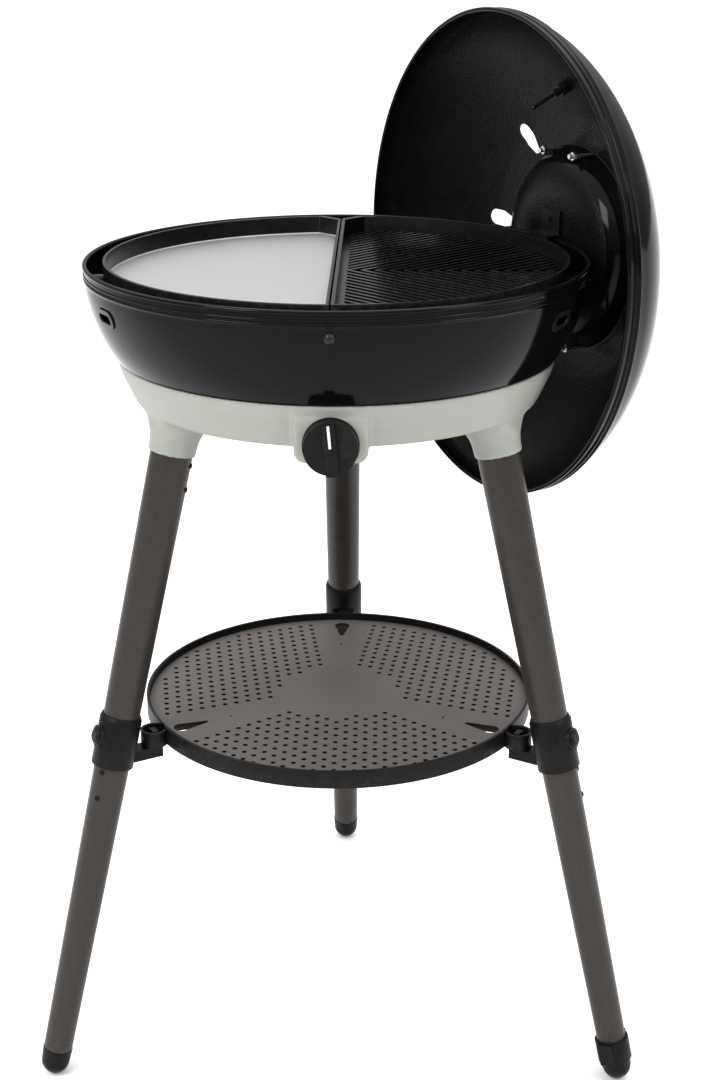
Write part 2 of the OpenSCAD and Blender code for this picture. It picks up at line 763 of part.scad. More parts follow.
// ---------------------------------------------------------------- tray
legs_az = [az_back, az_left, az_right];
finger_r = 176;
finger_half = 14;
finger_w = 12;
module tray_rim() {
  color(black_plastic) {
    difference() {
      union() {
        ring(tray_r, tray_r - tray_rim_wall, tray_bottom_z, tray_top_z);
        ring(tray_r - 1, tray_r - tray_rim_wall - 5, tray_floor_z - tray_sheet - 2, tray_floor_z - tray_sheet - fixed_gap);
        for (az = legs_az)
          rotate([0, 0, az]) translate([tongue_r, 0, tray_bottom_z])
            cylinder(r = tray_loop_r, h = tray_skirt - 2);
      }
      for (az = legs_az)
        rotate([0, 0, az]) translate([tongue_r, 0, tray_bottom_z - 1])
          cylinder(r = tray_loop_r - 2.5, h = tray_skirt + 3);
      translate([0, 0, tray_floor_z - tray_sheet - fixed_gap])
        cylinder(r = tray_r - tray_rim_wall, h = 40);
      translate([0, 0, tray_bottom_z - 1]) cylinder(r = tray_r - tray_rim_wall - 5, h = 40);
    }
  }
}

module finger_slot() {
  translate([finger_r - finger_half, 0]) circle(r = finger_w / 2, $fn = 32);
  translate([finger_r + finger_half, 0]) circle(r = finger_w / 2, $fn = 32);
  translate([finger_r - finger_half, -finger_w / 2]) square([2 * finger_half, finger_w]);
}

module tray_sheet_panel() {
  first_row = 85;
  color(tray_grey)
    difference() {
      translate([0, 0, tray_floor_z - tray_sheet]) linear_extrude(height = tray_sheet) difference() {
        circle(r = tray_r - tray_rim_wall - fixed_gap, $fn = 128);
        for (az = legs_az) rotate([0, 0, az]) finger_slot();
        for (az = legs_az) rotate([0, 0, az]) translate([tongue_r, 0]) circle(r = tray_loop_r + fixed_gap);
      }
      for (az = legs_az)
        for (row = [first_row:tray_hole_pitch:tray_r - 26])
          for (a = [az + 60 - 32:16:az + 60 + 33])
            rotate([0, 0, a]) translate([row, 0, tray_floor_z - 10])
              cylinder(r = tray_hole_d / 2, h = 20, $fn = 16);
    }
}

// ---------------------------------------------------------------- lid
lid_power = 2.25;
lid_side_power = 1.65;
lid_skirt = 20;
// Height of the sheet's edge above the mouth, inside the rolled edge
lid_edge_s = 3.3;
lid_centre_r = bowl_rim_r - lid_overlap;
lid_z = bowl_rim_z - lid_drop;
dome_steps = 12;
function dome_r(s, w) =
  (lid_r - 2 - w) * pow(1 - pow(s / (lid_depth - w), lid_side_power), 1 / lid_power);
recess_edge_s = lid_depth * pow(1 - pow(recess_r / lid_r, lid_power), 1 / lid_side_power);
recess_floor_s = recess_edge_s - recess_depth;
recess_floor_r = recess_r - 24;

// Children in the lid's own frame: Z runs out of the dome, -X is up
module lid_frame() {
  rotate([0, 0, lid_azimuth]) translate([lid_centre_r, 0, lid_z]) rotate([0, 90, 0]) children();
}

// Section of the lid as a solid of revolution, shrunk by w
module lid_section(w) {
  last = recess_edge_s - 3;
  dome = [for (i = [0:dome_steps])
    let(s = lid_skirt + (last - lid_skirt) * pow(i / dome_steps, 0.8))
    [dome_r(s - 6, w), s]];
  polygon(concat([[0, lid_edge_s - w * 2], [lid_r - 2 - w, lid_edge_s - w * 2], [lid_r - 2 - w, lid_skirt - 6]], dome,
    [[recess_r + w * 0.3, recess_edge_s + 3 - w], [recess_r - 5 + w * 1.2, recess_edge_s + 2 - w],
     [recess_floor_r + 8 + w, recess_floor_s + 8 - w * 0.6],
     [recess_floor_r + w * 0.3, recess_floor_s + 1 - w], [recess_floor_r - 14, recess_floor_s - w],
     [0, recess_floor_s - w]]));
}

vent_turns = [51.5, 5, 175, 128.5];
vent_mid_r = 136;
bolt_v = recess_r - 9;
bolt_h = 28;
thermo_v = 172;
thermo_share = pow(thermo_v / (lid_r - 2), lid_power);
thermo_s = 5.5 + lid_depth * pow(1 - thermo_share, 1 / lid_side_power);
thermo_tilt = atan(lid_depth * lid_power * thermo_share / thermo_v / lid_side_power
  * pow(1 - thermo_share, 1 / lid_side_power - 1));
hook_v = bowl_rim_z - lid_z;

// Children on the dome where the thermometer sits: Z points out of the dome
module thermo_frame() {
  lid_frame() translate([-thermo_v, 0, thermo_s]) rotate([0, -thermo_tilt, 0]) children();
}

module vent_slot() {
  hull() {
    translate([12, 0, 60]) cylinder(r = 9, h = 80, $fn = 32);
    translate([-11, 0, 60]) cylinder(r = 5.5, h = 80, $fn = 32);
  }
}

module bolt_holes(r) {
  for (v = [-bolt_v, bolt_v])
    for (h = [-bolt_h, bolt_h])
      translate([v, h, 70]) cylinder(r = r, h = 80, $fn = 24);
}

module lid_dome() {
  color(enamel) lid_frame() difference() {
    rotate_extrude() difference() {
      lid_section(0);
      lid_section(lid_wall);
    }
    for (turn = vent_turns)
      rotate([0, 0, turn + 90]) translate([vent_mid_r, 0, 0]) vent_slot();
    bolt_holes(2.8);
    translate([-thermo_v, 0, thermo_s]) rotate([0, -thermo_tilt, 0])
      translate([0, 0, -20]) cylinder(r = 5, h = 40, $fn = 32);
    translate([-hook_v - 18, 0, recess_floor_s - 10]) cylinder(r = 2.3, h = 20, $fn = 24);
  }
}

// Points on an arc of the trim's section
function trim_arc(r, z, radius, turns) =
  [for (a = turns) [lid_r + r + radius * cos(a), z + radius * sin(a)]];

// Rolled edge with two beads round the lid's mouth
module lid_rim_trim() {
  inner = lid_r - 2 + fixed_gap / 2;
  color(enamel) lid_frame() rotate_extrude() polygon(concat(
    [[inner, 14.7], [inner, 3.1]],
    trim_arc(-2.2, 0.5, 2.4, [90:30:390]),
    [[lid_r - 0.8, 5]],
    trim_arc(-1.7, 8, 1.7, [-60:30:60]),
    trim_arc(-1.7, 13, 1.7, [-60:30:90])));
}

handle_s = recess_edge_s + 4;
flange_t = 6;
module lid_handle() {
  half = bolt_v + 12;
  color(black_plastic) lid_frame() difference() {
    union() {
      translate([-half, -handle_w / 2 + handle_t / 2, handle_s])
        cube([2 * half, handle_w - handle_t, handle_t]);
      for (side = [-1, 1])
        translate([-half, side * (handle_w - handle_t) / 2, handle_s + handle_t / 2]) rotate([0, 90, 0])
          cylinder(r = handle_t / 2, h = 2 * half, $fn = 48);
      for (v = [-bolt_v, bolt_v]) {
        translate([v - 8, -handle_w / 2 + 2, recess_edge_s - 16]) cube([16, handle_w - 4, 22]);
        translate([v - 9, -bolt_h - 7, handle_s]) cube([18, 2 * bolt_h + 14, flange_t]);
      }
    }
    rotate_extrude() lid_section(-fixed_gap);
    bolt_holes(2.6);
  }
}

// Bolts of the handle: heads on the handle, nuts and thread ends inside the lid
module lid_handle_bolts() {
  in_s = recess_edge_s - 29;
  color(bright_steel) lid_frame()
    for (v = [-bolt_v, bolt_v])
      for (h = [-bolt_h, bolt_h])
        translate([v, h, 0]) {
          translate([0, 0, in_s]) cylinder(r = 2.5, h = handle_s + flange_t - in_s + 0.5, $fn = 32);
          translate([0, 0, recess_edge_s - 25]) cylinder(r = 4.6, h = 4, $fn = 6);
          translate([0, 0, handle_s + flange_t + 0.1]) cylinder(r1 = 4.5, r2 = 3, h = 2, $fn = 32);
        }
}

dial_r = 24;
stem_len = 44;
module thermometer_dial() {
  color(bright_steel) thermo_frame() {
    translate([0, 0, 4.5]) cylinder(r1 = dial_r, r2 = dial_r - 2, h = 9);
    translate([0, 0, 1.4]) cylinder(r = 9, h = 3.4);
  }
}

module thermometer_stem() {
  color(bright_steel) thermo_frame() {
    translate([0, 0, -10]) cylinder(r = 7.5, h = 6.5, $fn = 6);
    translate([0, 0, -17]) cylinder(r = 4, h = 8, $fn = 32);
    translate([0, 0, -stem_len]) cylinder(r = 1.9, h = stem_len - 16, $fn = 32);
    translate([0, 0, -stem_len]) sphere(r = 2.6, $fn = 32);
    translate([0, 0, -4]) cylinder(r = 4.6, h = 5.4, $fn = 32);
  }
}

// Hook on the lid's recess that hangs over the bowl's rim
hanger_w = 36;
hanger_t = 2.5;
hanger_lip = 15;
hanger_gap = 9;
module lid_hanger() {
  lip_s = lid_overlap - bowl_wall - hanger_gap - hanger_t;
  back_s = recess_floor_s - lid_wall - hanger_t;
  color(bright_steel) lid_frame() {
    translate([-hook_v - lift_gap - hanger_t, -hanger_w / 2, lip_s])
      cube([hanger_t, hanger_w, back_s + hanger_t - lip_s - 0.1]);
    translate([-hook_v - lift_gap - hanger_t, -hanger_w / 2, lip_s])
      cube([hanger_lip + hanger_t, hanger_w, hanger_t]);
    translate([-hook_v - 28, -hanger_w / 2, back_s - 0.1]) cube([28, hanger_w, hanger_t]);
    translate([-hook_v - 18, 0, back_s - 2]) cylinder(r = 2.2, h = 10, $fn = 24);
  }
}

base_housing();
control_boss();
bowl();
bowl_base_screws();
plate_stud(270);  // plate_stud_front
plate_stud(0);  // plate_stud_right
plate_stud(90);  // plate_stud_back
plate_stud(180);  // plate_stud_left
slot_trim(az_left);  // slot_trim_left
slot_trim(az_right);  // slot_trim_right
burner_riser();
burner_head();
burner_cap();
spark_electrode();
gas_valve();
valve_plunger();
valve_spindle();
gas_jet();
venturi_tube();
gas_pipe();
gas_inlet();
grease_rails();
grease_cup();
control_knob();
knob_pointer();
flat_plate();
ribbed_plate();
upper_leg(az_back);  // upper_leg_back
upper_leg(az_left);  // upper_leg_left
upper_leg(az_right);  // upper_leg_right
rivets(az_back, rivet_upper_s, rivet_upper_turn);  // upper_rivets_back
rivets(az_left, rivet_upper_s, rivet_upper_turn);  // upper_rivets_left
rivets(az_right, rivet_upper_s, rivet_upper_turn);  // upper_rivets_right
collar(az_back);  // collar_back
collar(az_left);  // collar_left
collar(az_right);  // collar_right
release_button(az_back);  // release_button_back
release_button(az_left);  // release_button_left
release_button(az_right);  // release_button_right
lower_leg(az_back);  // lower_leg_back
lower_leg(az_left);  // lower_leg_left
lower_leg(az_right);  // lower_leg_right
rivets(az_back, rivet_lower_s, rivet_lower_turn);  // lower_rivets_back
rivets(az_left, rivet_lower_s, rivet_lower_turn);  // lower_rivets_left
rivets(az_right, rivet_lower_s, rivet_lower_turn);  // lower_rivets_right
foot_cap(az_back);  // foot_back
foot_cap(az_left);  // foot_left
levelling_foot();
tray_rim();
tray_sheet_panel();
lid_dome();
lid_rim_trim();
lid_handle();
lid_handle_bolts();
thermometer_dial();
thermometer_stem();
lid_hanger();
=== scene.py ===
# %% [markdown]
# # A three-legged camp grill
# The working parts of the grill come ready made from its CAD model: this script loads them
# as a fixed frame and never moves them. What is added here is what CAD leaves plain: smooth
# pressed steel, the flowing plastic base, a perforated tray, and the finish of every surface.

# %% Load the frame
import json
import math

import bpy
from mathutils import Matrix, Vector


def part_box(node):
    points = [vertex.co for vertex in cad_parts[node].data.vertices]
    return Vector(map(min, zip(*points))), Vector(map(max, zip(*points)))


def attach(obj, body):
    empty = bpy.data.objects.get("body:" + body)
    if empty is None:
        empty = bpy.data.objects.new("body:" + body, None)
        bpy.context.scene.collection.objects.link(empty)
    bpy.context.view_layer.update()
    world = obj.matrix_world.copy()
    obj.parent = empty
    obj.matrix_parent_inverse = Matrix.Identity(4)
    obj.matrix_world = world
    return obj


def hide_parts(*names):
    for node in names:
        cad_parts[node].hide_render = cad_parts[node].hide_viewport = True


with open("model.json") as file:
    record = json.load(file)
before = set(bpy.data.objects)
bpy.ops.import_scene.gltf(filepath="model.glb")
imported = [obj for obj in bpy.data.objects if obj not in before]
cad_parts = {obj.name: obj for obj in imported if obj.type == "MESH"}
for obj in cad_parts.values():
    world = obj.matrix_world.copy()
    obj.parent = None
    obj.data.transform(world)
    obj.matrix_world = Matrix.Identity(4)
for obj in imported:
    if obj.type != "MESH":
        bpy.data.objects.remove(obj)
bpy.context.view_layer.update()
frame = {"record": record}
MM = 0.001

# %% [markdown]
# ## Sizes read from the frame
# A piece that stands for a CAD node has to fill the same place, so its sizes come from the
# node's box. The few that a box can't tell, such as the lean of a leg, are named here.

# %% Main sizes
bowl_low, bowl_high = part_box("bowl")
RIM_R = bowl_high[0]
RIM_Z = bowl_high[2]
BOWL_Z = bowl_low[2]
BASE_TOP = BOWL_Z + 25.5 * MM
BASE_LOW = BASE_TOP - 45 * MM
TRAY_R = 210 * MM
SHEET_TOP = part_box("tray_sheet_panel")[1][2]
LEG_FOOT_R = 353.2 * MM
LEG_LEAN = math.radians(13.71)
LEG_AZIMUTHS = {"back": 90, "left": 210, "right": 330}
SOCKET_Z = 675 * MM
LID_AZIMUTH = math.radians(28.7)
LID_PLANE = 180 * MM
LID_Z = RIM_Z - 16.6 * MM
print("rim radius", round(RIM_R, 4), "rim height", round(RIM_Z, 4))

# %% [markdown]
# ## Tools for shaping
# Pressed and moulded round parts are outlines turned about an axis. The outline is drawn the
# way it would be by hand: one point, extruded step by step, then spun and merged.

# %% Helpers for selection and clean-up
def only(obj):
    if bpy.context.object and bpy.context.object.mode != "OBJECT":
        bpy.ops.object.mode_set(mode="OBJECT")
    bpy.ops.object.select_all(action="DESELECT")
    obj.select_set(True)
    bpy.context.view_layer.objects.active = obj


def named(name):
    obj = bpy.context.object
    obj.name = name
    obj.data.name = name
    return obj


def edit(obj, mode="VERT"):
    only(obj)
    bpy.ops.object.mode_set(mode="EDIT")
    bpy.ops.mesh.select_mode(type=mode)


def pick(obj, test, kind="faces"):
    """Selects the faces, edges or vertices for which test is true."""
    edit(obj, {"faces": "FACE", "edges": "EDGE", "verts": "VERT"}[kind])
    bpy.ops.mesh.select_all(action="DESELECT")
    bpy.ops.object.mode_set(mode="OBJECT")
    mesh = obj.data
    items = {"faces": mesh.polygons, "edges": mesh.edges, "verts": mesh.vertices}[kind]
    count = 0
    for item in items:
        item.select = bool(test(item))
        count += item.select
    bpy.ops.object.mode_set(mode="EDIT")
    return count


def smooth(obj, degrees=35):
    only(obj)
    bpy.ops.object.shade_smooth_by_angle(angle=math.radians(degrees))
    return obj


def settle(obj, matrix=None):
    """Bakes the object's place into its mesh, so that its object sits at the origin."""
    if matrix is not None:
        obj.matrix_world = matrix @ obj.matrix_world
    only(obj)
    bpy.ops.object.transform_apply(location=True, rotation=True, scale=True)
    return obj


def use(obj, kind, **values):
    """Adds a modifier, sets its values and applies it."""
    only(obj)
    modifier = obj.modifiers.new(kind.title(), kind)
    for key, value in values.items():
        setattr(modifier, key, value)
    bpy.ops.object.modifier_apply(modifier=modifier.name)
    return obj


def lathe(name, outline, steps=144, degrees=35):
    """Extrudes one point along the closed outline of (radius, height), then spins it."""
    bpy.ops.mesh.primitive_plane_add(size=1 * MM)
    obj = named(name)
    edit(obj)
    bpy.ops.mesh.merge(type="CENTER")
    r0, z0 = outline[0]
    bpy.ops.transform.translate(value=(r0, 0, z0))
    for (r1, z1), (r2, z2) in zip(outline, outline[1:] + outline[:1]):
        bpy.ops.mesh.extrude_region_move(TRANSFORM_OT_translate={"value": (r2 - r1, 0, z2 - z1)})
    bpy.ops.mesh.select_all(action="SELECT")
    bpy.ops.mesh.remove_doubles(threshold=0.001 * MM)
    bpy.ops.mesh.select_all(action="SELECT")
    bpy.ops.mesh.spin(steps=steps, angle=math.tau, center=(0, 0, 0), axis=(0, 0, 1))
    bpy.ops.mesh.select_all(action="SELECT")
    bpy.ops.mesh.remove_doubles(threshold=0.005 * MM)
    bpy.ops.mesh.normals_make_consistent(inside=False)
    bpy.ops.object.mode_set(mode="OBJECT")
    return smooth(obj, degrees)


def arc(cr, cz, radius, start, end, count):
    """Points on an arc of the outline, angles in degrees from the outward direction."""
    turns = [math.radians(start + (end - start) * i / count) for i in range(count + 1)]
    return [(cr + radius * math.cos(a), cz + radius * math.sin(a)) for a in turns]


def cut(obj, cutter):
    use(obj, "BOOLEAN", operation="DIFFERENCE", object=cutter, solver="EXACT")
    bpy.data.objects.remove(cutter, do_unlink=True)
    return obj


def join(name, pieces):
    bpy.ops.object.select_all(action="DESELECT")
    for piece in pieces:
        piece.select_set(True)
    bpy.context.view_layer.objects.active = pieces[0]
    bpy.ops.object.join()
    return named(name)


print("tools ready")

# %% [markdown]
# ## The frame of a leg and of the lid
# A leg leans in towards the bowl, and the lid hangs on its side, so both are easiest to model
# upright at the origin and then turned into place once. These matrices are those turns.

# %% Leg and lid placement
def leg_matrix(azimuth):
    """Z runs up the leg from the ground and X points away from the bowl."""
    return (Matrix.Rotation(math.radians(azimuth), 4, "Z") @ Matrix.Translation((LEG_FOOT_R, 0, 0))
            @ Matrix.Rotation(-LEG_LEAN, 4, "Y"))


LID_MATRIX = (Matrix.Rotation(LID_AZIMUTH, 4, "Z") @ Matrix.Translation((LID_PLANE, 0, LID_Z))
              @ Matrix.Rotation(math.radians(90), 4, "Y"))
print("lid stands at", [round(v, 3) for v in LID_MATRIX.translation])

# %% [markdown]
# ## The bowl
# The real bowl is pressed from one sheet, with its edge rolled into a bead and two raised
# rings below it. It is one closed outline, inside and outside, so the sheet has its thickness.

# %% Press the bowl
SHEET = 1.6 * MM
BAND = 14 * MM
SIDE_R = RIM_R - 1.5 * MM
FORM_DEPTH = 125 * MM
FLAT_R = 197 * MM
STEP_Z = BASE_TOP + 3.5 * MM
SEAT_R = 221.6 * MM
SEAT_H = 27 * MM
SIDE_STEPS = 26


def side_r(t):
    """Radius of the bowl's side, a distance t below its rim band."""
    return SIDE_R * (1 - (t / FORM_DEPTH) ** 1.5) ** (1 / 6)


def bowl_corner(thick):
    """The rounded corner from the seat in the base to the flat bottom."""
    turns = [math.radians(7.5 * i) for i in range(13)]
    reach = SEAT_R - thick - FLAT_R
    return [(FLAT_R + reach * math.cos(a), BOWL_Z + thick + SEAT_H * (1 - math.sin(a))) for a in turns]


SIDE_T = RIM_Z - BAND - STEP_Z
drops = [SIDE_T * i / SIDE_STEPS for i in range(SIDE_STEPS + 1)]
side = [(side_r(t), RIM_Z - BAND - t) for t in drops]
step_r = side[-1][0]
step = [(step_r - 0.7 * MM, STEP_Z - 1.1 * MM), (SEAT_R + 1.2 * MM, STEP_Z - 1.5 * MM)]
outer = side + step + bowl_corner(0)
inner = list(reversed(bowl_corner(SHEET)))
inner += [(r - SHEET, z) for r, z in reversed(side[:-1])]
HOLE_R = 15 * MM
bead = arc(RIM_R - 2.6 * MM, RIM_Z - 2.6 * MM, 2.6 * MM, 200, -65, 12)
upper_ring = arc(RIM_R - 2.0 * MM, RIM_Z - 9.5 * MM, 1.7 * MM, 70, -70, 6)
lower_ring = arc(RIM_R - 2.2 * MM, RIM_Z - 14 * MM, 1.7 * MM, 70, -60, 6)
outline = ([(HOLE_R, BOWL_Z + SHEET)] + inner + [(RIM_R - 5.2 * MM, RIM_Z - 8 * MM)] + bead
           + upper_ring + lower_ring + outer[1:] + [(HOLE_R, BOWL_Z)])
bowl = lathe("bowl_shell", outline, steps=192, degrees=50)
print("bowl points", len(outline), "faces", len(bowl.data.polygons))

# %% [markdown]
# Two oval holes are punched in the bowl's side above the front legs. A cutter with round ends
# is a cylinder whose two halves are pulled apart, which keeps the ends truly round.

# %% Punch the side holes
SLOT_Z = RIM_Z - 37 * MM
SLOT_HALF = 9 * MM
SLOT_R = 6 * MM


def stadium(name, radius, half, length, vertices=32):
    """Block along X with round ends across Y, standing on x = 0."""
    bpy.ops.mesh.primitive_cylinder_add(vertices=vertices, radius=radius, depth=length,
                                        location=(length / 2, 0, 0), rotation=(0, math.radians(90), 0))
    obj = settle(named(name))
    pick(obj, lambda v: v.co.y > 0.01 * MM, "verts")
    bpy.ops.transform.translate(value=(0, half, 0))
    pick(obj, lambda v: v.co.y < -0.01 * MM, "verts")
    bpy.ops.transform.translate(value=(0, -half, 0))
    bpy.ops.object.mode_set(mode="OBJECT")
    return obj


for azimuth in (210, 330):
    cutter = stadium("hole_cutter", SLOT_R, SLOT_HALF, 60 * MM)
    turned = Matrix.Rotation(math.radians(azimuth), 4, "Z")
    settle(cutter, turned @ Matrix.Translation((RIM_R - 30 * MM, 0, SLOT_Z)))
    cut(bowl, cutter)
smooth(bowl, 50)
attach(bowl, "grill_base")
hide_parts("bowl")
print("bowl faces after punching", len(bowl.data.polygons))

# %% [markdown]
# ## The lid
# The lid is pressed like the bowl, and its middle is pressed back in to make room for fingers
# behind the handle. Inside, that recess stands out as a round boss. The mouth's edge carries
# the same bead and rings as the bowl.

# %% Press the lid
LID_R = 254 * MM
LID_DEPTH = 120.5 * MM
SKIRT = 20 * MM
RECESS_R = 112 * MM
RECESS_DEPTH = 27 * MM
DOME_STEPS = 30
# How squarely the dome's outline turns, near its top and near its side
TOP_POWER = 2.25
SIDE_POWER = 1.65


def dome_r(s):
    """Radius of the dome, a distance s above the mouth."""
    return (LID_R - 2 * MM) * (1 - (max(s, 0) / LID_DEPTH) ** SIDE_POWER) ** (1 / TOP_POWER)


def dome_s(r):
    """Height of the dome above the mouth, at a radius r."""
    return LID_DEPTH * (1 - (r / LID_R) ** TOP_POWER) ** (1 / SIDE_POWER)


RECESS_S = dome_s(RECESS_R)
RECESS_FLOOR = RECESS_S - RECESS_DEPTH
FLOOR_R = RECESS_R - 24 * MM
last_s = RECESS_S - 3 * MM
dome = []
for i in range(DOME_STEPS + 1):
    s = SKIRT + (last_s - SKIRT) * (i / DOME_STEPS) ** 0.8
    dome.append((dome_r(s - 6 * MM), s))
lip = [(RECESS_R - back * MM, RECESS_S + up * MM) for back, up in ((0, 3), (2.5, 3.2), (5, 1.6))]
wall = [(FLOOR_R + back * MM, RECESS_FLOOR + up * MM) for back, up in
        ((17, 21), (13, 15), (9, 10.5), (4, 6.8), (-2, 3.9), (-10, 1.6), (-20, 0.4), (-32, 0))]
wall += [(30 * MM, RECESS_FLOOR), (0, RECESS_FLOOR)]
outside = [(LID_R - 2 * MM, SKIRT - 6 * MM)] + dome + lip + wall


def inset(points, depth):
    """The same open outline, moved square to itself towards its hollow side."""
    moved = []
    for i, (r, z) in enumerate(points):
        before, after = points[max(i - 1, 0)], points[min(i + 1, len(points) - 1)]
        run, rise = after[0] - before[0], after[1] - before[1]
        size = math.hypot(run, rise) or 1
        moved.append((max(r - depth * rise / size, 0), z + depth * run / size))
    return moved


inside = inset(outside, SHEET)
BEAD_MID = LID_R - 2.2 * MM
mouth = [(LID_R - 2 * MM - SHEET, 3 * MM)] + arc(BEAD_MID, 0.5 * MM, 2.4 * MM, 190, 390, 12)
for ring_height in (8 * MM, 13 * MM):
    mouth += arc(BEAD_MID, ring_height, 1.8 * MM, -70, 70, 6)
lid = lathe("lid_shell", list(reversed(inside)) + mouth + outside, steps=192, degrees=60)
print("lid faces", len(lid.data.polygons))

# %% [markdown]
# Four vents are punched round the recess. Each is wider at its outer end, so the cutter is a
# round-ended block whose inner end is then made smaller.

# %% Punch the vents and hang the lid
VENT_TURNS = (128.5, 175, 51.5, 5)
for turn in VENT_TURNS:
    cutter = stadium("vent_cutter", 9 * MM, 11 * MM, 90 * MM)
    pick(cutter, lambda v: v.co.y < 0, "verts")
    bpy.ops.transform.resize(value=(1, 0.68, 0.62), center_override=(0, -8 * MM, 0))
    bpy.ops.object.mode_set(mode="OBJECT")
    # The block's length turns to the lid's axis, and its wide end away from the middle.
    a = math.radians(turn)
    # Measured as seen from inside the lid: along the mouth and up.
    out_dir = Vector((-math.sin(a), -math.cos(a), 0))
    side_dir = Vector((0, 0, 1)).cross(out_dir)
    place = Matrix((
        (0, out_dir.x, side_dir.x, out_dir.x * 135 * MM),
        (0, out_dir.y, side_dir.y, out_dir.y * 135 * MM),
        (1, 0, 0, 60 * MM),
        (0, 0, 0, 1)))
    settle(cutter, place)
    cut(lid, cutter)
smooth(lid, 60)
settle(lid, LID_MATRIX)
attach(lid, "lid")
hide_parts("lid_dome", "lid_rim_trim")
print("vents", len(VENT_TURNS))

# %% [markdown]
# ## The base
# The moulded base flows from its ring into three sockets with no corner between them. Ring and
# sockets are turned separately, then remeshed as one skin and relaxed, which rounds the joins
# the way the mould does. The bowl's seat and the leg bores are cut afterwards, so that they
# stay crisp.

# %% Turn the ring and the sockets
BASE_TOP_R = 225 * MM
BASE_LOW_R = 207 * MM
# Shares of the side's run and rise, from its lower edge to its upper one
BASE_SIDE = [(0, 0), (0.17, 0.14), (0.32, 0.27), (0.5, 0.43), (0.67, 0.58), (0.81, 0.71), (0.91, 0.83), (1, 1)]
# The smoothing below draws the socket in a little, so it starts larger than its finished size.
SOCKET_R = 24.2 * MM
FLARE_RUN, FLARE_RISE = 45.8 * MM, 58 * MM
socket_s = SOCKET_Z / math.cos(LEG_LEAN)
shares = [i / 9 for i in range(10)]
flare = [(SOCKET_R + FLARE_RUN * u ** 2.1, socket_s + 8 * MM + FLARE_RISE * u) for u in shares]
run, rise = BASE_TOP_R - BASE_LOW_R, BASE_TOP - BASE_LOW
ring_outline = [(BASE_LOW_R + u * run, BASE_LOW + v * rise) for u, v in BASE_SIDE]
ring_outline += [(200 * MM, BASE_TOP), (200 * MM, BASE_LOW + 20 * MM), (190 * MM, BASE_LOW + 4 * MM),
                 (145 * MM, BASE_LOW + 4 * MM), (145 * MM, BASE_LOW)]
TRIM_LOW = 600 * MM
parts = [lathe("base_ring", ring_outline, 160)]
for azimuth in LEG_AZIMUTHS.values():
    socket = lathe("socket", [(0, socket_s), (SOCKET_R, socket_s)] + flare + [(0, flare[-1][1])], 96)
    settle(socket, leg_matrix(azimuth))
    # What stands out of the ring's side is trimmed off. Below the ring the trim leans with the legs.
    low_r = BASE_LOW_R + (BASE_LOW - TRIM_LOW) * math.tan(LEG_LEAN)
    trim = lathe("socket_trim", [(0, TRIM_LOW), (low_r, TRIM_LOW)]
                 + [(r - 0.5 * MM, z) for r, z in ring_outline[:len(BASE_SIDE)]] + [(0, BASE_TOP)], 120)
    use(socket, "BOOLEAN", operation="INTERSECT", object=trim, solver="EXACT")
    bpy.data.objects.remove(trim, do_unlink=True)
    parts.append(socket)
print("sockets", len(parts) - 1)

# %% [markdown]
# The control knob has a flat boss of its own at the front. It is a block whose two lower
# corners are rounded, and it is blended into the ring with the sockets.

# %% Add the knob's boss
KNOB_Z = BOWL_Z - 10.2 * MM
BOSS_HALF = 35 * MM
BOSS_FRONT = -BASE_TOP_R + 0.5 * MM
BOSS_LOW, BOSS_HIGH = KNOB_Z - 19.7 * MM, BASE_TOP - 12 * MM
bpy.ops.mesh.primitive_cube_add(size=1, location=(0, BOSS_FRONT + 9 * MM, (BOSS_LOW + BOSS_HIGH) / 2),
                                scale=(2 * BOSS_HALF, 18 * MM, BOSS_HIGH - BOSS_LOW))
boss = settle(named("boss"))
low_edges = lambda e: all(boss.data.vertices[i].co.z < BOSS_LOW + 1 * MM for i in e.vertices) and abs(
    boss.data.vertices[e.vertices[0]].co.x - boss.data.vertices[e.vertices[1]].co.x) < 1 * MM
pick(boss, low_edges, "edges")
bpy.ops.mesh.bevel(offset=11 * MM, segments=8)
bpy.ops.object.mode_set(mode="OBJECT")
parts.append(boss)
base = join("base_shell", parts)
print("base before remesh", len(base.data.polygons))

# %% Blend them into one moulding
only(base)
use(base, "REMESH", mode="VOXEL", voxel_size=2.0 * MM)
use(base, "SMOOTH", factor=0.5, iterations=14)
gap = 0.3 * MM
bowl_room = [(0, BOWL_Z - gap)] + [(r + gap, z - gap) for r, z in reversed(bowl_corner(0))]
bowl_room += [(step_r + 1 * MM, STEP_Z - 1 * MM), (step_r + 20 * MM, STEP_Z + 20 * MM)]
bowl_room += [(0, STEP_Z + 20 * MM)]
seat_cut = lathe("seat_cutter", bowl_room, 160)
cut(base, seat_cut)
for azimuth in LEG_AZIMUTHS.values():
    bpy.ops.mesh.primitive_cylinder_add(vertices=72, radius=22.0 * MM, depth=36 * MM,
                                        location=(0, 0, socket_s + 15 * MM))
    cut(base, settle(named("leg_cutter"), leg_matrix(azimuth)))
# Behind the boss there is room for the valve, and its spindle comes through a round hole.
bpy.ops.mesh.primitive_cube_add(size=1, location=(10.5 * MM, -181 * MM, BASE_LOW),
                                scale=(41 * MM, 76 * MM, 40 * MM))
cut(base, settle(named("valve_room")))
bpy.ops.mesh.primitive_cylinder_add(vertices=48, radius=7 * MM, depth=30 * MM,
                                    location=(0, BOSS_FRONT, KNOB_Z), rotation=(math.radians(90), 0, 0))
cut(base, settle(named("spindle_hole")))
smooth(base, 35)
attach(base, "grill_base")
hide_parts("base_housing", "control_boss")
print("base faces", len(base.data.polygons))

# %% [markdown]
# ## The tray's sheet
# A thin punched sheet is a filled flat curve: one circle for its edge, one for each hole, and a
# little extrusion with a bevel that gives every hole its rolled edge.

